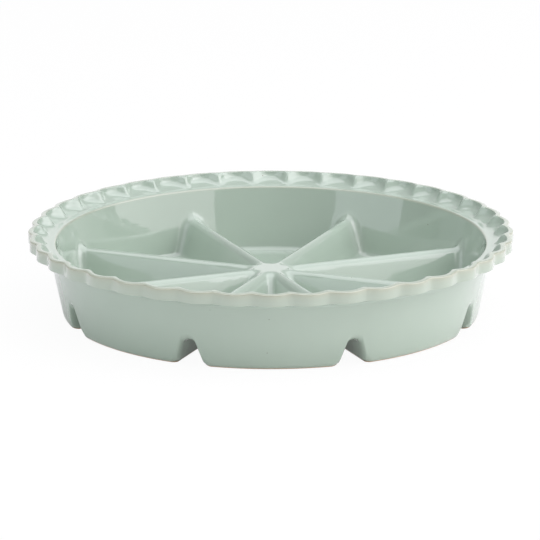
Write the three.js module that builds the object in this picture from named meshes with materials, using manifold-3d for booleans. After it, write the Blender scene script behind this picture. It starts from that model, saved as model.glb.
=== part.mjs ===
// A round stoneware scone pan with eight wedge pockets, in millimetres with +Z up.
// It stands on z = 0 with its axis on Z, and the middle of one pocket faces the front, -Y.
// The pan is one fired casting, and each region of the casting is a solid of its own here.

import * as THREE from 'three';
import { mergeVertices } from 'three/addons/utils/BufferGeometryUtils.js';
import Module from 'manifold-3d';

const wasm = await Module();
wasm.setup();

const radians = THREE.MathUtils.degToRad;

// Crimped rim
const rimRadius = 145; // to the tip of a crimp
const rimReach = 11.4; // from the wall's outer line, at the lip, out to the tip of a crimp
const panHeight = 51.5; // to the crest between two crimps
const crimpCount = 40;
const crimpDepth = 2.4; // from the tip of a crimp in to the crease beside it
const crimpDip = 0.45; // from the crest down to the edge at the tip of a crimp
const rimFace = 7.7; // height of the outer face
const rimEdge = 3.2; // thickness of the raised edge
const rimEdgeRound = 0.8;
const lipDrop = 6.8; // from the crest down to the flat lip
const lipWidth = 4;
const lipRound = 1.4;
const ridgeRun = 6.5; // outward run in which the ridge between two scoops climbs to the crest
const ridgeSharpness = 3; // power of the rise from the middle of a scoop to the ridge beside it
const flangeThickness = 4.8; // at the wall, from the lip down to the sloping underside
const underRound = 2; // hollow where the underside joins the wall
const rimRoot = 3; // height of wall that belongs to the rim, below the flange

// Side wall and foot
const footRadius = 124; // the wall's outer line, carried down to the table
const wallThickness = 4.8;
const footRound = 4;
const footHeight = 1; // bare clay below the edge of the glaze

// Pockets and dividers
const pocketCount = 8;
const floorHeight = 6.3;
const dividerHeight = 27.9;
const dividerTop = 5.8; // width across the shoulders, before they are rounded
const shoulderRound = 3.6;
const dividerDraft = radians(20);
const dividerWall = 4.1;
const pocketFillet = 3.2; // between the floor and the sides
const cornerRadius = 5; // upright corners at the outer wall
const tipRadius = 3; // upright corner at the hub
const notchRoof = 5.9; // width of the hollow below a divider at its roof, before it is rounded
const notchRound = 4;
const legRound = 3; // edges of the hollow at the table

// Width of the parting lines between the regions, and how far a cut runs past what it cuts
const seam = 0.3;
const overcut = 1;

// Steps of the curves
const latheSteps = 80;
const arcSteps = 3;
const wallArcSteps = 6;
const riseSteps = 3;
const crimpColumns = [-0.85, -0.5, 0, 0.5, 0.85, 1]; // across a crimp, from crease to crease

// What follows from the sizes
const lipHeight = panHeight - lipDrop;
const rimUnder = panHeight - rimFace;
const flangeRoot = lipHeight - flangeThickness;
const rimSeam = flangeRoot - rimRoot;
const wallDraft = Math.atan((rimRadius - rimReach - footRadius) / lipHeight);
const pocketHalfAngle = Math.PI / pocketCount;
const pocketPitch = 2 * pocketHalfAngle;
const crimpPitch = (2 * Math.PI) / crimpCount;
const frontAngle = -Math.PI / 2;
const beyond = 2 * rimRadius; // longer than the pan is wide

const outerRadius = (z) => footRadius + z * Math.tan(wallDraft);
const innerRadius = (z) => outerRadius(z) - wallThickness / Math.cos(wallDraft);
const dividerHalf = (z) => dividerTop / 2 + (dividerHeight - z) * Math.tan(dividerDraft);
const notchHalf = (z) => dividerHalf(z) - dividerWall / Math.cos(dividerDraft);

// How far a fillet of this radius reaches from a corner between a level face and a drafted one
const filletReach = (radius, draft) => radius * Math.tan((Math.PI / 2 - draft) / 2);

// A crest has no more rounding than its width takes
const crestRound = Math.min(shoulderRound, dividerTop / 2 / filletReach(1, dividerDraft));

// The hollow below a divider is as high as leaves the divider its wall, its roof rounded in its width
const notchHeight = (notchHalf(0) - notchRoof / 2) / Math.tan(dividerDraft);
const roofRound = Math.min(notchRound, notchRoof / 2 / filletReach(1, dividerDraft));

// Parting lines along the edges of the flat floors, at the straight dividers and at the wall
const dividerSeam = dividerHalf(floorHeight) + filletReach(pocketFillet, dividerDraft);
const hubSeam = dividerSeam / Math.sin(pocketHalfAngle);
const wallSeam = innerRadius(floorHeight) - filletReach(pocketFillet, wallDraft);

function bufferGeometry(positions, faces) {
  const geometry = new THREE.BufferGeometry();
  geometry.setAttribute('position', new THREE.Float32BufferAttribute(positions, 3));
  geometry.setIndex([...faces]);
  return geometry;
}

// A closed mesh as a solid that can be cut and joined
function solid(geometry) {
  geometry.deleteAttribute('normal');
  geometry.deleteAttribute('uv');
  const merged = mergeVertices(geometry);
  const corners = merged.index.array;
  const kept = [];
  for (let i = 0; i < corners.length; i += 3) {
    const [a, b, c] = corners.slice(i, i + 3);
    if (a !== b && b !== c && c !== a) kept.push(a, b, c);
  }
  return new wasm.Manifold(
    new wasm.Mesh({
      numProp: 3,
      vertProperties: merged.attributes.position.array,
      triVerts: new Uint32Array(kept),
    }),
  );
}

function arc(x, y, radius, start, end, steps) {
  const points = [];
  for (let i = 0; i <= steps; i++) {
    const angle = start + ((end - start) * i) / steps;
    points.push(new THREE.Vector2(x + radius * Math.cos(angle), y + radius * Math.sin(angle)));
  }
  return points;
}

// A closed outline from corners [x, y, radius], where a corner with no radius stays sharp
function roundedOutline(corners) {
  const points = [];
  corners.forEach(([x, y, radius = 0], i) => {
    const corner = new THREE.Vector2(x, y);
    if (radius === 0) {
      points.push(corner);
      return;
    }
    const back = new THREE.Vector2(...corners.at(i - 1)).sub(corner).normalize();
    const ahead = new THREE.Vector2(...corners[(i + 1) % corners.length]).sub(corner).normalize();
    const half = Math.acos(back.dot(ahead)) / 2;
    const inward = back.clone().add(ahead).normalize();
    const centre = corner.clone().addScaledVector(inward, radius / Math.sin(half));
    const first = corner.clone().addScaledVector(back, radius / Math.tan(half)).sub(centre);
    const turn = (Math.PI - 2 * half) * Math.sign(ahead.cross(back));
    const start = first.angle();
    points.push(...arc(centre.x, centre.y, radius, start, start + turn, arcSteps));
  });
  return points;
}

function lathe(outline) {
  const onAxis = outline[0].x === 0;
  const profile = onAxis ? outline : [...outline, outline[0]];
  return solid(new THREE.LatheGeometry(profile, latheSteps).rotateX(Math.PI / 2));
}

function disc(radius, low, high) {
  return lathe(roundedOutline([[0, low], [radius, low], [radius, high], [0, high]]));
}

// Level outlines of equal point counts, joined from the lowest to the highest into one solid
function loft(outlines, heights) {
  const count = outlines[0].length;
  const top = (outlines.length - 1) * count;
  const positions = outlines.flatMap((outline, i) => outline.flatMap((p) => [p.x, p.y, heights[i]]));
  const faces = [];
  for (let level = 0; level < outlines.length - 1; level++) {
    for (let i = 0; i < count; i++) {
      const a = level * count + i;
      const b = level * count + ((i + 1) % count);
      faces.push(a, b, b + count, a, b + count, a + count);
    }
  }
  THREE.ShapeUtils.triangulateShape(outlines[0], []).forEach(([a, b, c]) => faces.push(c, b, a));
  THREE.ShapeUtils.triangulateShape(outlines.at(-1), []).forEach(([a, b, c]) => {
    faces.push(a + top, b + top, c + top);
  });
  return solid(bufferGeometry(positions, faces));
}

// The level outline of a pocket that lies along +X, between two dividers of this half width
function pocketOutline(half, radius) {
  const h = pocketHalfAngle;
  const side = Math.asin((half + cornerRadius) / (radius - cornerRadius));
  const away = radius - cornerRadius;
  const turn = h - side;
  const cornerX = away * Math.cos(turn);
  const cornerY = away * Math.sin(turn);
  const tip = (half + tipRadius) / Math.sin(h);
  const flank = Math.PI / 2 + h;
  return [
    ...arc(0, 0, radius, -turn, turn, wallArcSteps),
    ...arc(cornerX, cornerY, cornerRadius, turn, flank, arcSteps).slice(1),
    ...arc(tip, 0, tipRadius, flank, 2 * Math.PI - flank, arcSteps),
    ...arc(cornerX, -cornerY, cornerRadius, -flank, -turn, arcSteps).slice(0, -1),
  ];
}

// How far a filleted, drafted side stands out from the sharp corner at the floor
function sideOffset(z, draft) {
  const rise = z - floorHeight;
  if (rise >= pocketFillet * (1 - Math.sin(draft))) return rise * Math.tan(draft);
  const level = pocketFillet - rise;
  return Math.sqrt(pocketFillet ** 2 - level ** 2) - filletReach(pocketFillet, draft);
}

// How much the rounded shoulder takes off the half width of a divider
function shoulderOffset(z) {
  const below = dividerHeight - z;
  if (below >= crestRound * (1 - Math.sin(dividerDraft))) return 0;
  const level = crestRound - below;
  const across = Math.sqrt(crestRound ** 2 - level ** 2);
  return filletReach(crestRound, dividerDraft) + below * Math.tan(dividerDraft) - across;
}

// The room that one pocket takes, from its floor to just above the dividers
function pocketRoom() {
  const heights = [];
  for (let i = 0; i <= arcSteps; i++) {
    const turn = ((Math.PI / 2 - dividerDraft) * i) / arcSteps;
    heights.push(floorHeight + pocketFillet * (1 - Math.cos(turn)));
  }
  for (let i = 0; i <= arcSteps; i++) {
    const turn = ((Math.PI / 2 - dividerDraft) * (arcSteps - i)) / arcSteps;
    heights.push(dividerHeight - crestRound * (1 - Math.cos(turn)));
  }
  const outlines = heights.map((z) => {
    const half = dividerHalf(floorHeight) - sideOffset(z, dividerDraft) - shoulderOffset(z);
    return pocketOutline(half, innerRadius(floorHeight) + sideOffset(z, wallDraft));
  });
  heights.push(dividerHeight + overcut);
  outlines.push(outlines.at(-1));
  return loft(outlines, heights);
}

// The hollow below one divider that lies along +X, open through the wall as a notch
function dividerHollow() {
  const outline = roundedOutline([
    [-beyond, -overcut],
    [beyond, -overcut],
    [beyond, 0],
    [notchHalf(0), 0, legRound],
    [notchRoof / 2, notchHeight, roofRound],
    [-notchRoof / 2, notchHeight, roofRound],
    [-notchHalf(0), 0, legRound],
    [-beyond, 0],
  ]);
  const shape = new THREE.Shape(outline);
  const prism = new THREE.ExtrudeGeometry(shape, { depth: rimRadius, bevelEnabled: false });
  return solid(prism.rotateX(Math.PI / 2).rotateZ(Math.PI / 2));
}

const turned = (shape, angle) => shape.rotate([0, 0, THREE.MathUtils.radToDeg(angle)]);
const pocketAngle = (i) => frontAngle + i * pocketPitch;
const dividerAngle = (i) => pocketAngle(i) + pocketHalfAngle;

// The casting below the rim, in one piece
function casting() {
  const outside = lathe(
    roundedOutline([
      [0, 0],
      [footRadius, 0, footRound],
      [outerRadius(rimSeam), rimSeam],
      [0, rimSeam],
    ]),
  );
  const above = lathe(
    roundedOutline([
      [0, dividerHeight],
      [innerRadius(dividerHeight), dividerHeight],
      [innerRadius(panHeight), panHeight],
      [0, panHeight],
    ]),
  );
  const room = pocketRoom();
  const hollow = dividerHollow();
  let body = outside.subtract(above);
  for (let i = 0; i < pocketCount; i++) {
    body = body.subtract(turned(room, pocketAngle(i)));
    body = body.subtract(turned(hollow, dividerAngle(i)));
  }
  return body;
}

// The outer radius of a crimp at this angle from its tip: a round arc from crease to crease
function crimpEdge(angle) {
  const creaseRadius = rimRadius - crimpDepth;
  const halfChord = creaseRadius * Math.sin(crimpPitch / 2);
  const bulge = rimRadius - creaseRadius * Math.cos(crimpPitch / 2);
  const radius = (halfChord ** 2 + bulge ** 2) / (2 * bulge);
  const centre = rimRadius - radius;
  return centre * Math.cos(angle) + Math.sqrt(radius ** 2 - (centre * Math.sin(angle)) ** 2);
}

// The section of the rim, as [radius, height], at a place from -1 to 1 across a crimp
function rimSection(place) {
  const ridge = Math.abs(place) ** ridgeSharpness;
  const edge = crimpEdge((place * crimpPitch) / 2);
  const top = panHeight - crimpDip * (1 - ridge);
  const lip = innerRadius(lipHeight);
  const riseFoot = lip + lipWidth;
  const run = edge - rimEdge - riseFoot;
  const section = [
    [innerRadius(rimSeam), rimSeam],
    [innerRadius(lipHeight - lipRound), lipHeight - lipRound],
    [lip + lipRound, lipHeight],
  ];
  for (let i = 0; i <= riseSteps; i++) {
    const t = i / riseSteps;
    const scooped = 1 - Math.sqrt(1 - t ** 2);
    const climbed = THREE.MathUtils.smoothstep(t * run, 0, ridgeRun);
    const share = scooped + (climbed - scooped) * ridge;
    section.push([riseFoot + t * run, lipHeight + (top - lipHeight) * share]);
  }
  const root = outerRadius(flangeRoot);
  const underSlope = (rimUnder - flangeRoot) / (edge - root);
  section.push(
    [edge - rimEdgeRound, top],
    [edge, top - rimEdgeRound],
    [edge, rimUnder],
    [root + underRound, flangeRoot + underRound * underSlope],
    [outerRadius(flangeRoot - underRound), flangeRoot - underRound],
    [outerRadius(rimSeam), rimSeam],
  );
  return section;
}

// The rim: a flange with a flat lip, its edge drawn up into crimps with a thumb scoop in each
function crimpedRim() {
  const positions = [];
  for (let i = 0; i < crimpCount; i++) {
    for (const place of crimpColumns) {
      const angle = frontAngle + (i + place / 2) * crimpPitch;
      for (const [radius, z] of rimSection(place)) {
        positions.push(radius * Math.cos(angle), radius * Math.sin(angle), z);
      }
    }
  }
  const rows = rimSection(0).length;
  const columns = crimpCount * crimpColumns.length;
  const faces = [];
  for (let i = 0; i < columns; i++) {
    for (let j = 0; j < rows; j++) {
      const a = i * rows + j;
      const b = i * rows + ((j + 1) % rows);
      const c = ((i + 1) % columns) * rows + ((j + 1) % rows);
      const d = ((i + 1) % columns) * rows + j;
      faces.push(a, b, c, a, c, d);
    }
  }
  return solid(bufferGeometry(positions, faces));
}

// A wedge as wide as a pocket, along +X, with its point this far from the axis
function wedge(point, height) {
  const x = point + beyond * Math.cos(pocketHalfAngle);
  const y = beyond * Math.sin(pocketHalfAngle);
  const shape = new THREE.Shape(roundedOutline([[point, 0], [x, -y], [x, y]]));
  return solid(new THREE.ExtrudeGeometry(shape, { depth: height, bevelEnabled: false }));
}

// A block as wide as a divider with its fillets, along +X
function dividerBlock() {
  const block = new THREE.BoxGeometry(beyond, 2 * dividerSeam, panHeight);
  return solid(block.translate(beyond / 2, 0, panHeight / 2));
}

const glaze = { color: 0xb3c3b5, roughness: 0.15, metalness: 0 };
const bareClay = { color: 0xcfa683, roughness: 0.8, metalness: 0 };

const pan = new THREE.Group();
pan.name = 'scone_pan';

function addPart(name, shape, finish) {
  const { vertProperties, triVerts } = shape.getMesh();
  const geometry = bufferGeometry(vertProperties, triVerts);
  geometry.computeVertexNormals();
  const mesh = new THREE.Mesh(geometry, new THREE.MeshStandardMaterial(finish));
  mesh.name = name;
  pan.add(mesh);
}

// The casting is parted at the edge of the glaze, round the hub, along the dividers, and at the wall,
// which is parted again in the plane of each divider
const body = casting();
const glazed = body.intersect(disc(beyond, footHeight, panHeight));
const inside = glazed.intersect(disc(wallSeam - seam, footHeight, panHeight));
const ring = glazed.subtract(disc(wallSeam, 0, panHeight));
const spokes = inside.subtract(disc(hubSeam + seam, 0, panHeight));
const wallWedge = wedge(seam / 2 / Math.sin(pocketHalfAngle), panHeight);
const floorWedge = wedge((dividerSeam + seam) / Math.sin(pocketHalfAngle), panHeight);
const footWedge = wedge(0, footHeight);
const block = dividerBlock();

addPart('crimped_rim', crimpedRim(), glaze);
addPart('centre_hub', inside.intersect(disc(hubSeam, 0, panHeight)), glaze);
for (let i = 0; i < pocketCount; i++) {
  const number = i + 1;
  addPart(`side_wall_${number}`, ring.intersect(turned(wallWedge, pocketAngle(i))), glaze);
  addPart(`pocket_floor_${number}`, spokes.intersect(turned(floorWedge, pocketAngle(i))), glaze);
  addPart(`divider_${number}`, spokes.intersect(turned(block, dividerAngle(i))), glaze);
  addPart(`foot_${number}`, body.intersect(turned(footWedge, pocketAngle(i))), bareClay);
}

export default pan;
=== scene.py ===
"""A round glazed stoneware scone pan with eight wedge pockets, dressed on its CAD frame."""

import math

import bpy
import numpy as np
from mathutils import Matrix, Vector


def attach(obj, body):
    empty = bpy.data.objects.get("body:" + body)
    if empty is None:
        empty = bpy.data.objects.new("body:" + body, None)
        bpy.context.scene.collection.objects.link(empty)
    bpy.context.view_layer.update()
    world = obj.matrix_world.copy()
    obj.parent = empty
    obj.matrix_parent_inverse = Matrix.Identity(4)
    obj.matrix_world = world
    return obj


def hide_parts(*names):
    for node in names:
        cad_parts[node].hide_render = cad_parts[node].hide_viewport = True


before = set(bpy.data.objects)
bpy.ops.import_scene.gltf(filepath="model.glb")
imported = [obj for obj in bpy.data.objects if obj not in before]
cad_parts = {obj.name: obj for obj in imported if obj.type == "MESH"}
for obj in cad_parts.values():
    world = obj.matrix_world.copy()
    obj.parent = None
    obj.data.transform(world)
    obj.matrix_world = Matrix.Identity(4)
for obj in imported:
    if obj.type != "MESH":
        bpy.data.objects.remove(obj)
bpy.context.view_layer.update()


# The glazed casting: one stoneware body, slip cast in a plaster mould, with wedge pockets between
# hollow dividers, a leaning wall that the hollows cut as notches, and a crimped rim. It is dipped in
# a sage glaze that pulls thin on the edges when it is fired. All its sizes are in millimetres.

metre = 1000
rim_radius, pan_height = 145, 51.5
crimp_count, crimp_depth, crimp_dip = 40, 2.4, 0.45
crease_round = 0.3  # share of half a crimp over which the crease beside it is rounded
rim_face, rim_reach = 7.7, 11.4
lip_drop, lip_width, lip_round = 6.8, 4, 1.4
ridge_run, scoop_bend = 6.5, math.radians(72)  # a ridge's slope, and half the arc of a scoop from above
edge_outside, edge_drop = 2.6, 0.7  # the rounded top edge of a crimp, outside its highest line
edge_inside, inside_drop = 0.6, 0.6  # and inside it, towards the scoop
under_edge_round, flange_thickness, under_round = 0.4, 3.9, 4
foot_radius, wall_thickness, foot_round, glaze_line = 124, 4.8, 4, 1
pocket_count, floor_height, pocket_fillet, corner_radius, tip_radius = 8, 6.3, 3.2, 5, 3
divider_height, divider_top, shoulder_round, divider_wall = 27.9, 5.8, 3.6, 4.1
divider_draft, inner_draft = math.radians(20), math.radians(13.2)
notch_roof, notch_round, notch_edge, leg_round, foot_tip = 5.9, 5, 7, 3, 12
notch_gauge = 8  # height on the wall at which a notch has its true width
foot_corner = 3.4  # run beside a notch over which a foot's corner turns

lip_height = pan_height - lip_drop
rim_under = pan_height - rim_face
flange_root = lip_height - flange_thickness
wall_draft = math.atan((rim_radius - rim_reach - foot_radius) / lip_height)
half_pocket = math.pi / pocket_count
half_crimp = math.pi / crimp_count
lean = np.array([math.cos(wall_draft), -math.sin(wall_draft)])  # out of the wall, as radius and height


def outer_radius(z):
    return foot_radius + z * math.tan(wall_draft)


def inner_radius(z):
    lip = outer_radius(lip_height) - wall_thickness / math.cos(wall_draft)
    return lip - (lip_height - z) * math.tan(inner_draft)


def divider_half(z):
    return divider_top / 2 + (divider_height - z) * math.tan(divider_draft)


# A soft change from 0 to 1
def smooth(t):
    t = np.clip(t, 0, 1)
    return t * t * (3 - 2 * t)


# Distance to the nearest of some faces, where the corners between them are rounded to this radius
def rounded(radius, *distances):
    reach = np.maximum(radius - np.array(np.broadcast_arrays(*distances)), 0)
    nearest = np.minimum.reduce(np.broadcast_arrays(*distances))
    return np.maximum(nearest, radius) - np.sqrt((reach**2).sum(axis=0))


# How far a place is inside a pocket from its side, where the dividers have this half width
def pocket_depth(radius, angle, half):
    tip = (half + tip_radius) / math.sin(half_pocket)  # the middle of the round at the hub
    out, across = radius * np.cos(half_pocket - angle), radius * np.sin(half_pocket - angle)
    beside = (out - tip) * math.cos(half_pocket) + across * math.sin(half_pocket) > 0
    return np.where(beside, radius * np.sin(angle) - half, tip_radius - np.hypot(out - tip, across))


# Height of the inside at this radius and angle from a divider: up from the flat floor, through the
# fillets, over the round shoulders of the dividers and up the wall, found by halving
def inside_height(radius, angle):
    low, high = np.full_like(radius, floor_height - 1), np.full_like(radius, pan_height)
    for _ in range(40):
        z = (low + high) / 2
        side = pocket_depth(radius, angle, divider_half(z)) * math.cos(divider_draft)
        divider = -rounded(shoulder_round, -side, divider_height - z)
        wall = (inner_radius(z) - radius) * math.cos(inner_draft)
        room = rounded(pocket_fillet, rounded(corner_radius, divider, wall), z - floor_height)
        low, high = np.where(room < 0, z, low), np.where(room < 0, high, z)
    return (low + high) / 2


# Section of the hollow below a divider, from the middle of its roof to its foot on the table
steep = math.pi / 2 - divider_draft
notch_half = divider_half(0) - divider_wall / math.cos(divider_draft)
notch_height = (notch_half - notch_roof / 2) / math.tan(divider_draft)
roof_flat = max(0, notch_roof / 2 - notch_round * math.tan(steep / 2))
leg_foot = notch_half + leg_round * math.tan(steep / 2)
glaze_turn = math.acos(1 - glaze_line / leg_round)
glazed_turns = np.linspace(steep, glaze_turn, 4)
roof_turns = np.linspace(0, steep, 7)
leg_turns = np.concatenate([glazed_turns, np.linspace(glaze_turn, 0, 6)[1:]])
hollow_half = np.concatenate([
    roof_flat + notch_round * np.sin(roof_turns),
    leg_foot - leg_round * np.sin(leg_turns),
])
hollow_top = np.concatenate([
    notch_height - notch_round * (1 - np.cos(roof_turns)),
    leg_round * (1 - np.cos(leg_turns)),
])


# Distance of a place below the pan from the middle of the hollows, with the feet's inner tips rounded
def hollow_place(radius, angle):
    return rounded(foot_tip, radius * np.sin(angle), radius * np.sin(2 * half_pocket - angle))


def under_height(radius, angle):
    return np.interp(hollow_place(radius, angle), hollow_half, hollow_top)


# Round of the wall's lower edge, wider along a notch than below a pocket, with half of the change at the
# foot of the notch's leg
def lower_edge(radius, angle):
    beside = leg_foot - hollow_place(radius, angle)
    return foot_round + (notch_edge - foot_round) * smooth(0.5 + beside / foot_corner)


# The mesh is a round grid. Half a pocket, from the middle of a divider to the middle of the pocket, has
# 41 columns: 2.5 crimps at the rim, and inside and below, lines that run along the divider's curves.
crease_gather = 1.4  # how closely the columns gather at a crease
near_crease = -1 + np.linspace(0, 1, 9) ** crease_gather
across_crimp = np.concatenate([near_crease, -near_crease[-2::-1]])
crimp_columns = [across_crimp, across_crimp[1:], near_crease[1:]]
place = np.concatenate(crimp_columns)
crimp_number = np.repeat([0, 1, 2], [len(columns) for columns in crimp_columns])
rim_angle = half_crimp * (1 + place + 2 * crimp_number)
half_columns = len(place)

shoulder = np.linspace(0, steep, 6)
flank_heights = np.array([19, 14])
fillet = np.linspace(steep, 0, 7)
crest_half = divider_top / 2 - shoulder_round * math.tan(steep / 2)
fillet_foot = divider_half(floor_height) + pocket_fillet * math.tan(steep / 2)
inside_lines = np.concatenate([
    [0, crest_half / 2],
    crest_half + shoulder_round * np.sin(shoulder),
    divider_half(flank_heights),
    fillet_foot - pocket_fillet * np.sin(fillet),
])
leg_top = len(roof_turns)
leg_glaze = leg_top + len(glazed_turns) - 1
under_lines = np.concatenate([
    [0],
    hollow_half[1:leg_top],
    np.linspace(hollow_half[leg_top - 1], hollow_half[leg_top], 4)[1:3],
    hollow_half[leg_top : leg_glaze + 1],
    np.linspace(hollow_half[leg_glaze], fillet_foot, 5)[1:],
])
lines_share = 0.8  # most of half a pocket's width that these lines take, near the hub


def column_angles(lines, radius):
    width = lines * min(1, lines_share * radius * math.sin(half_pocket) / lines[-1])
    near = np.arcsin(width / radius)
    return np.concatenate([near, np.linspace(near[-1], half_pocket, half_columns + 1 - len(lines))[1:]])


rows = []  # from the middle of the hub, out to the rim, down the wall and back below to the middle


# Thin is how far the glaze has pulled off this line of the surface, from 0 to 1
def add_row(angle, radius, z, thin=0):
    rows.append(np.array(np.broadcast_arrays(angle, radius, z, thin), float))


# The hub, the dividers and the floors, then the wall up to its lip
floor_edge = inner_radius(floor_height) - pocket_fillet * math.tan((math.pi / 2 - inner_draft) / 2)
wall_turns = np.linspace(0, math.pi / 2 - inner_draft, 9)
hub_rings, tip_rings = [4, 8], np.linspace(9.2, 19, 9)
floor_rings, outer_rings = np.linspace(21, 49, 9), np.linspace(55, floor_edge - 3, 10)
fillet_rings = floor_edge + pocket_fillet * np.sin(wall_turns)
low_wall = inner_radius(np.linspace(11, 33, 12))
high_wall = inner_radius(np.linspace(34.5, lip_height - 1.2 * lip_round, 5))
rings = np.concatenate([hub_rings, tip_rings, floor_rings, outer_rings, fillet_rings, low_wall, high_wall])
blend_foot, blend_top = 32, lip_height - 2  # from the dividers' lines to the columns of the crimps
for radius in rings:
    wall_level = lip_height - (inner_radius(lip_height) - radius) / math.tan(inner_draft)
    blend = smooth((wall_level - blend_foot) / (blend_top - blend_foot))
    angle = column_angles(inside_lines, radius) * (1 - blend) + rim_angle * blend
    add_row(angle, radius, inside_height(np.full_like(angle, radius), angle))

# The rim: a round lip, a flat, a thumb scoop that rises to the raised edge, and ridges between scoops
from_crease = 1 - np.abs(place)
softened = np.sqrt(from_crease**2 + crease_round**2) - crease_round
softened /= math.sqrt(1 + crease_round**2) - crease_round
off_middle = 1 - softened
crease = rim_radius - crimp_depth
half_chord = crease * math.sin(half_crimp)
bulge = rim_radius - crease * math.cos(half_crimp)
bow = (half_chord**2 + bulge**2) / (2 * bulge)
lobe_turn = off_middle * half_crimp
lobe_centre = rim_radius - bow
edge = lobe_centre * np.cos(lobe_turn) + np.sqrt(bow**2 - (lobe_centre * np.sin(lobe_turn)) ** 2)
crest = edge - edge_outside
top = pan_height - crimp_dip * (1 - off_middle**2)
scoop_top = top - inside_drop * (1 - off_middle**2)

lip_thin, crest_thin, edge_thin, under_thin = 0.5, 0.35, 0.55, 0.2
lip_centre = inner_radius(lip_height - lip_round) + lip_round / math.cos(inner_draft)
for turn in np.linspace(inner_draft, math.pi / 2, 7):
    z = lip_height - lip_round * (1 - math.sin(turn))
    add_row(rim_angle, lip_centre - lip_round * math.cos(turn), z, lip_thin * math.sin(2 * turn))
scoop_foot = inner_radius(lip_height) + lip_width
add_row(rim_angle, (lip_centre + scoop_foot) / 2, lip_height)
scoop_run = rim_radius - edge_outside - edge_inside - scoop_foot
scoop_arc = np.cos(np.arcsin(off_middle * math.sin(scoop_bend))) - math.cos(scoop_bend)
scoop_arc /= 1 - math.cos(scoop_bend)
straight_rise = 0.35  # share of a scoop's height that rises evenly, while the rest turns up towards its end
for share in np.sin(np.linspace(0, math.pi / 2, 17)):
    rise = straight_rise * share + (1 - straight_rise) * (1 - math.sqrt(1 - share**4))
    ridge = ridge_run * (0.5 - math.sin(math.asin(1 - 2 * rise) / 3))  # the soft change, turned around
    scoop = scoop_foot + ridge + (scoop_run * share - ridge) * scoop_arc
    add_row(rim_angle, scoop, lip_height + (scoop_top - lip_height) * rise)
for turn in np.linspace(math.pi, math.pi / 2, 5)[1:]:
    z = scoop_top + (top - scoop_top) * math.sin(turn)
    add_row(rim_angle, crest + (crest - scoop) * math.cos(turn), z, crest_thin * math.sin(turn))
for turn in np.linspace(math.pi / 2, 0, 8)[1:]:
    z = top - edge_drop * (1 - math.sin(turn))
    thin = crest_thin + edge_thin * math.cos(turn) ** 4
    add_row(rim_angle, crest + edge_outside * math.cos(turn), z, thin)

root = outer_radius(flange_root)
slope = np.arctan((rim_under - flange_root) / (edge - root))
round_height = rim_under - under_edge_round * np.tan(slope) + under_edge_round / np.cos(slope)
for share, thin in ((0.15, 0.55), (0.4, 0.35), (0.7, 0.22)):  # down the face, the glaze gets thicker
    add_row(rim_angle, edge, (top - edge_drop) * (1 - share) + round_height * share, thin)
for share in np.linspace(0, 1, 6):
    turn = share * (math.pi / 2 - slope)
    add_row(
        rim_angle,
        edge - under_edge_round * (1 - np.cos(turn)),
        round_height - under_edge_round * np.sin(turn),
        under_thin,
    )
under_face = np.array([np.sin(slope), -np.cos(slope)])
facing = under_face[0] * lean[0] + under_face[1] * lean[1]
cove = under_round * (under_face + lean[:, None]) / (1 + facing)
for share in np.linspace(0, 1, 6):
    turn = (math.pi / 2 - slope) * (1 - share) + wall_draft * share
    add_row(
        rim_angle,
        root + cove[0] - under_round * np.cos(turn),
        flange_root + cove[1] + under_round * np.sin(turn),
    )
cove_foot = rows[-1][2]

# The outside of the wall, down to the glaze line on the feet and to the edge of each notch
notch_reach = outer_radius(notch_gauge)
foot_angle = column_angles(under_lines, notch_reach)
foot_level = under_height(np.full_like(foot_angle, notch_reach), foot_angle)
beside_notch = foot_angle[len(under_lines) - 1]
edge_radius = lower_edge(notch_reach, foot_angle)
wall_end = foot_level + edge_radius * (1 - math.sin(wall_draft))
blend_rate, blend_wait = 1.15, 0.1  # the columns leave the crimps late and reach the notches' lines early
for share in np.linspace(0, 1, 15)[1:]:
    blend = smooth(share * blend_rate - blend_wait)
    z = cove_foot * (1 - share) + wall_end * share
    add_row(rim_angle * (1 - blend) + foot_angle * blend, outer_radius(z), z)
last_turn = np.arcsin(1 - (np.maximum(foot_level, glaze_line) - foot_level) / edge_radius)
edge_centre = outer_radius(foot_level + edge_radius) - edge_radius / math.cos(wall_draft)
blend = smooth((foot_angle - beside_notch) / (half_pocket - beside_notch))
for share in np.linspace(0, 1, 7)[1:]:
    turn = wall_draft * (1 - share) + last_turn * share
    radius = edge_centre + edge_radius * np.cos(turn)
    along_notch = np.arcsin(np.sin(foot_angle) * notch_reach / radius)
    angle = along_notch * (1 - blend) + foot_angle * blend
    add_row(angle, radius, foot_level + edge_radius * (1 - np.sin(turn)))

# The underside, level above the feet, with the hollows of the dividers up to their roofs
under_rings = np.concatenate([np.linspace(117, 60, 7), np.arange(57, 14, -3), [11, 8, 4]])
for radius in under_rings:
    angle = column_angles(under_lines, radius)
    add_row(angle, radius, np.maximum(under_height(np.full_like(angle, radius), angle), glaze_line))

# Half a pocket, mirrored and turned into the whole pan
grid = np.array(rows)
pocket = np.concatenate([grid[:, :, :-1], grid[:, :, :0:-1]], axis=2)
middle = half_columns - 1
pocket[:, 0, middle:] = 2 * half_pocket - pocket[:, 0, middle:]
whole = np.concatenate([pocket] * pocket_count, axis=2)
first_divider = -math.pi / 2 - half_pocket
whole[:, 0] += first_divider + np.repeat(np.arange(pocket_count), 2 * middle) * 2 * half_pocket
turned, out, height, thin_glaze = np.moveaxis(whole, 1, 0)
points = np.stack([out * np.cos(turned), out * np.sin(turned), height], axis=2)

row_count, column_count = points.shape[:2]
number = np.arange(row_count * column_count).reshape(row_count, column_count)
beside = np.roll(number, -1, axis=1)
quads = np.stack([number[:-1], number[1:], beside[1:], beside[:-1]], axis=2).reshape(-1, 4)
hub_point, below_point = row_count * column_count, row_count * column_count + 1
hub_fan = np.stack([np.full(column_count, hub_point), number[0], beside[0]], axis=1)
below_fan = np.stack([np.full(column_count, below_point), beside[-1], number[-1]], axis=1)

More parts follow.
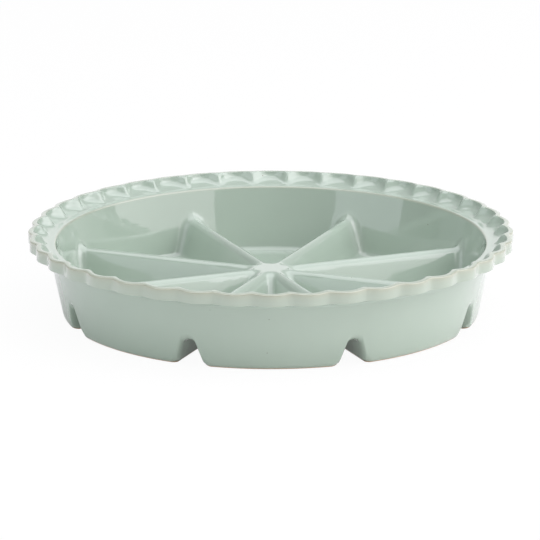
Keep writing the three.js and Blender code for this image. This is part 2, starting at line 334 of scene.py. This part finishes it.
pan_mesh = bpy.data.meshes.new("glazed_casting")
pan_mesh.from_pydata(
    np.concatenate([points.reshape(-1, 3), [[0, 0, divider_height], [0, 0, notch_height]]]) / metre,
    [],
    [*quads.tolist(), *hub_fan.tolist(), *below_fan.tolist()],
)
pan_mesh.shade_smooth()
pan = bpy.data.objects.new("glazed_casting", pan_mesh)
bpy.context.collection.objects.link(pan)

thin_layer = pan_mesh.attributes.new("thin_glaze", "FLOAT", "POINT")
thin_layer.data.foreach_set("value", np.append(thin_glaze.ravel(), [0, 0]).astype(np.float32))


def linear(code):
    parts = [int(code[i : i + 2], 16) / 255 for i in (1, 3, 5)]
    return [c / 12.92 if c <= 0.04045 else ((c + 0.055) / 1.055) ** 2.4 for c in parts] + [1]


def add_node(tree, kind, links=(), **settings):
    node = tree.nodes.new(kind)
    for name, value in settings.items():
        setattr(node, name, value)
    for socket, value in dict(links).items():
        if isinstance(value, bpy.types.NodeSocket):
            tree.links.new(value, node.inputs[socket])
        else:
            node.inputs[socket].default_value = value
    return node


# Sage stoneware glaze, dipped and fired glossy: pale and nearly even below a clear smooth coat, breaking
# to the buff clay on the edges of the rim, with a few iron specks and a faintly uneven skin that bends the
# reflections
cloud_size, speck_spacing, ripple_size, ripple_height = 35, 16, 14, 0.12
speck_inside, speck_outside = 0.018, 0.028  # of the spacing, where a speck starts and ends to fade
speck_strength, clay_strength = 0.75, 0.4  # at the middle of a speck, and where the glaze is thinnest
glaze = bpy.data.materials.new("sage_stoneware_glaze")
glaze.use_nodes = True
tree = glaze.node_tree
shader = tree.nodes["Principled BSDF"]
where = add_node(tree, "ShaderNodeTexCoord").outputs["Object"]
cloud = add_node(tree, "ShaderNodeTexNoise", {"Vector": where, "Scale": metre / cloud_size, "Detail": 2})
body_colour = add_node(
    tree,
    "ShaderNodeMix",
    {0: cloud.outputs["Fac"], 6: linear("#A8B9AA"), 7: linear("#AEBFB0")},
    data_type="RGBA",
)
thin = add_node(tree, "ShaderNodeAttribute", attribute_name="thin_glaze").outputs["Fac"]
thin_share = add_node(tree, "ShaderNodeMath", {0: thin, 1: clay_strength}, operation="MULTIPLY")
broken_colour = add_node(
    tree,
    "ShaderNodeMix",
    {0: thin_share.outputs[0], 6: body_colour.outputs[2], 7: linear("#B09C7C")},
    data_type="RGBA",
)
specks = add_node(tree, "ShaderNodeTexVoronoi", {"Vector": where, "Scale": metre / speck_spacing})
speck_share = add_node(
    tree,
    "ShaderNodeMapRange",
    {0: specks.outputs["Distance"], 1: speck_inside, 2: speck_outside, 3: speck_strength, 4: 0},
)
glaze_colour = add_node(
    tree,
    "ShaderNodeMix",
    {0: speck_share.outputs[0], 6: broken_colour.outputs[2], 7: linear("#6B6253")},
    data_type="RGBA",
)
ripple = add_node(tree, "ShaderNodeTexNoise", {"Vector": where, "Scale": metre / ripple_size, "Detail": 1})
uneven = add_node(
    tree,
    "ShaderNodeBump",
    {"Height": ripple.outputs["Fac"], "Distance": ripple_height / metre, "Strength": 1},
)
tree.links.new(glaze_colour.outputs[2], shader.inputs["Base Color"])
tree.links.new(uneven.outputs["Normal"], shader.inputs["Normal"])
shader.inputs["Roughness"].default_value = 0.06
shader.inputs["IOR"].default_value = 1.55
shader.inputs["Coat Weight"].default_value = 0.8
shader.inputs["Coat Roughness"].default_value = 0.03
pan_mesh.materials.append(glaze)

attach(pan, "root")
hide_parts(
    "crimped_rim",
    "centre_hub",
    *(
        f"{kind}_{i}"
        for kind in ("side_wall", "pocket_floor", "divider")
        for i in range(1, pocket_count + 1)
    ),
)


# The eight feet: the lowest millimetre of the casting below each pocket, of the same buff stoneware. They
# are wiped clean of glaze before the firing so that the pan doesn't stick to the kiln shelf.
foot_levels = [glaze_line, 0.75, 0.5, 0.25, 0.1, 0]
outlines = []
for z in foot_levels:
    leg_half = leg_foot - math.sqrt(leg_round**2 - (leg_round - z) ** 2)
    reach = outer_radius(z + foot_round) - foot_round / math.cos(wall_draft)
    widest = half_pocket - math.asin(leg_half / reach)
    turn = widest * np.sin(np.linspace(-math.pi / 2, math.pi / 2, 41))
    angle = half_pocket - np.abs(turn)
    below = np.minimum(under_height(foot_radius, angle), z)
    edge_radius = lower_edge(foot_radius, angle)
    rise = edge_radius - (z - below)
    far = outer_radius(below + edge_radius) - edge_radius / math.cos(wall_draft)
    far = far + np.sqrt(edge_radius**2 - rise**2)
    tip = np.linspace(math.pi / 2 + half_pocket, 3 * math.pi / 2 - half_pocket, 9)
    tip_x = foot_tip / math.sin(half_pocket) + (foot_tip - leg_half) * np.cos(tip)
    tip_y = (foot_tip - leg_half) * np.sin(tip)
    x = np.concatenate([far * np.cos(turn), tip_x])
    y = np.concatenate([far * np.sin(turn), tip_y])
    outlines.append(np.stack([x, y, np.full_like(x, z)], axis=1))
foot_points = np.concatenate(outlines)
around = len(outlines[0])
last_point = len(foot_points) - 1
foot_faces = [list(range(around)), list(range(last_point, last_point - around, -1))]
for level in range(len(foot_levels) - 1):
    for i in range(around):
        a, b = level * around + i, level * around + (i + 1) % around
        foot_faces.append([a, a + around, b + around, b])

# Buff stoneware, fired bare: dry and matt, with fine sand in it that gives a close grain, drawn a little
# coarse so that it shows
sand_size, sand_height = 0.9, 0.1
bare_clay = bpy.data.materials.new("bare_buff_stoneware")
bare_clay.use_nodes = True
tree = bare_clay.node_tree
shader = tree.nodes["Principled BSDF"]
where = add_node(tree, "ShaderNodeTexCoord").outputs["Object"]
sand = add_node(tree, "ShaderNodeTexNoise", {"Vector": where, "Scale": metre / sand_size, "Detail": 3})
clay_colour = add_node(
    tree,
    "ShaderNodeMix",
    {0: sand.outputs["Fac"], 6: linear("#CBA988"), 7: linear("#E2C7AA")},
    data_type="RGBA",
)
grain = add_node(
    tree,
    "ShaderNodeBump",
    {"Height": sand.outputs["Fac"], "Distance": sand_height / metre, "Strength": 0.6},
)
tree.links.new(clay_colour.outputs[2], shader.inputs["Base Color"])
tree.links.new(grain.outputs["Normal"], shader.inputs["Normal"])
shader.inputs["Roughness"].default_value = 0.85

for i in range(pocket_count):
    angle = -math.pi / 2 + i * 2 * half_pocket
    along, across = math.cos(angle), math.sin(angle)
    spin = np.array([[along, across, 0], [-across, along, 0], [0, 0, 1]])
    foot_mesh = bpy.data.meshes.new(f"bare_foot_{i + 1}")
    foot_mesh.from_pydata(foot_points @ spin / metre, [], foot_faces)
    foot_mesh.materials.append(bare_clay)
    foot = bpy.data.objects.new(f"bare_foot_{i + 1}", foot_mesh)
    bpy.context.collection.objects.link(foot)
    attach(foot, "root")
    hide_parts(f"foot_{i + 1}")


# The floor: a wide sheet of matt white studio paper, laid flat. The camera sees it as white, with a trace
# of the pan's soft shadow, and the glaze mirrors it more dimly.
half_sheet = 4  # in metres
# Shares of plain white that the paper gives off: always, more in the glaze, and more in the camera's view
all_white, mirrored_white, seen_white = 0.05, 0.15, 0.9
floor_mesh = bpy.data.meshes.new("white_paper_floor")
floor_mesh.from_pydata(
    [(x * half_sheet, y * half_sheet, 0) for x, y in ((-1, -1), (1, -1), (1, 1), (-1, 1))],
    [],
    [(0, 1, 2, 3)],
)
floor = bpy.data.objects.new("white_paper_floor", floor_mesh)
bpy.context.collection.objects.link(floor)
paper = bpy.data.materials.new("white_matt_paper")
paper.use_nodes = True
tree = paper.node_tree
tree.nodes.remove(tree.nodes["Principled BSDF"])
matt = add_node(tree, "ShaderNodeBsdfDiffuse", {"Color": linear("#F4F4F3")})
white = add_node(tree, "ShaderNodeEmission", {"Color": linear("#FFFFFF"), "Strength": 1})
ray = add_node(tree, "ShaderNodeLightPath").outputs
mirrored = add_node(
    tree,
    "ShaderNodeMath",
    {0: ray["Is Glossy Ray"], 1: mirrored_white, 2: all_white},
    operation="MULTIPLY_ADD",
)
white_share = add_node(
    tree,
    "ShaderNodeMath",
    {0: ray["Is Camera Ray"], 1: seen_white, 2: mirrored.outputs[0]},
    operation="MULTIPLY_ADD",
)
shown = add_node(
    tree,
    "ShaderNodeMixShader",
    {0: white_share.outputs[0], 1: matt.outputs[0], 2: white.outputs[0]},
)
tree.links.new(shown.outputs[0], tree.nodes["Material Output"].inputs["Surface"])
floor_mesh.materials.append(paper)


# The studio: a lit white backdrop straight behind the pan, no higher than 30 degrees or so, in a dim room.
# Softboxes stand on both sides in front, the right one larger and stronger, and a wide one hangs above and
# a little to the right. The camera sees plain white behind the pan.
backdrop_light, room_light = 0.62, 0.33
world = bpy.data.worlds.new("white_studio")
bpy.context.scene.world = world
world.use_nodes = True
tree = world.node_tree
direction = add_node(tree, "ShaderNodeTexCoord").outputs["Generated"]
axes = add_node(tree, "ShaderNodeSeparateXYZ", {0: direction}).outputs
behind = add_node(
    tree,
    "ShaderNodeMapRange",
    {0: axes["Y"], 1: 0.75, 2: 0.95, 3: 0, 4: backdrop_light},
    interpolation_type="SMOOTHSTEP",
)
below_top = add_node(
    tree,
    "ShaderNodeMapRange",
    {0: axes["Z"], 1: 0.6, 2: 0.4, 3: 0, 4: 1},
    interpolation_type="SMOOTHSTEP",
)
room = add_node(
    tree,
    "ShaderNodeMath",
    {0: behind.outputs[0], 1: below_top.outputs[0], 2: room_light},
    operation="MULTIPLY_ADD",
)
ray = add_node(tree, "ShaderNodeLightPath").outputs
seen = add_node(
    tree,
    "ShaderNodeMath",
    {0: ray["Is Camera Ray"], 1: ray["Is Transmission Ray"]},
    operation="MAXIMUM",
)
strength = add_node(tree, "ShaderNodeMix", {0: seen.outputs[0], 2: room.outputs[0], 3: 1})
tree.links.new(strength.outputs[0], tree.nodes["Background"].inputs["Strength"])
tree.nodes["Background"].inputs["Color"].default_value = linear("#FFFFFF")


# A softbox that faces the pan, with its angles in degrees to the right of the front and above the table
def add_softbox(name, azimuth, elevation, distance, width, height, watts, tint):
    lamp = bpy.data.lights.new(name, "AREA")
    lamp.shape, lamp.size, lamp.size_y, lamp.energy = "RECTANGLE", width, height, watts
    lamp.color = linear(tint)[:3]
    box = bpy.data.objects.new(name, lamp)
    a, e = math.radians(azimuth), math.radians(elevation)
    back = Vector((math.sin(a) * math.cos(e), -math.cos(a) * math.cos(e), math.sin(e)))
    box.location = back * distance
    box.rotation_euler = back.to_track_quat("Z", "Y").to_euler()
    bpy.context.collection.objects.link(box)


add_softbox("softbox_right", 65, 29, 1.3, 1.66, 1.38, 10.4, "#FDF7FB")
add_softbox("softbox_left", -59, 26, 1.16, 0.9, 1.0, 3, "#F3F6FF")
add_softbox("softbox_top", 90, 71, 1.5, 2.0, 3.0, 31.5, "#FAF6FF")


# The camera: a long lens, 15 degrees above the table, in front of the middle of a pocket. Its place was
# fitted to the photograph by the crimps, the lip, the hub, the notches and the foot.
camera = bpy.data.objects.new("camera", bpy.data.cameras.new("camera"))
bpy.context.collection.objects.link(camera)
camera.data.lens = 389.8
camera.data.clip_end = 20
camera.location = (-0.0093, -3.375, 0.9531)
aim = Vector((-0.0005, 0, 0.0263))
camera.rotation_euler = (camera.location - aim).to_track_quat("Z", "Y").to_euler()
bpy.context.scene.camera = camera
bpy.context.scene.view_settings.view_transform = "Standard"
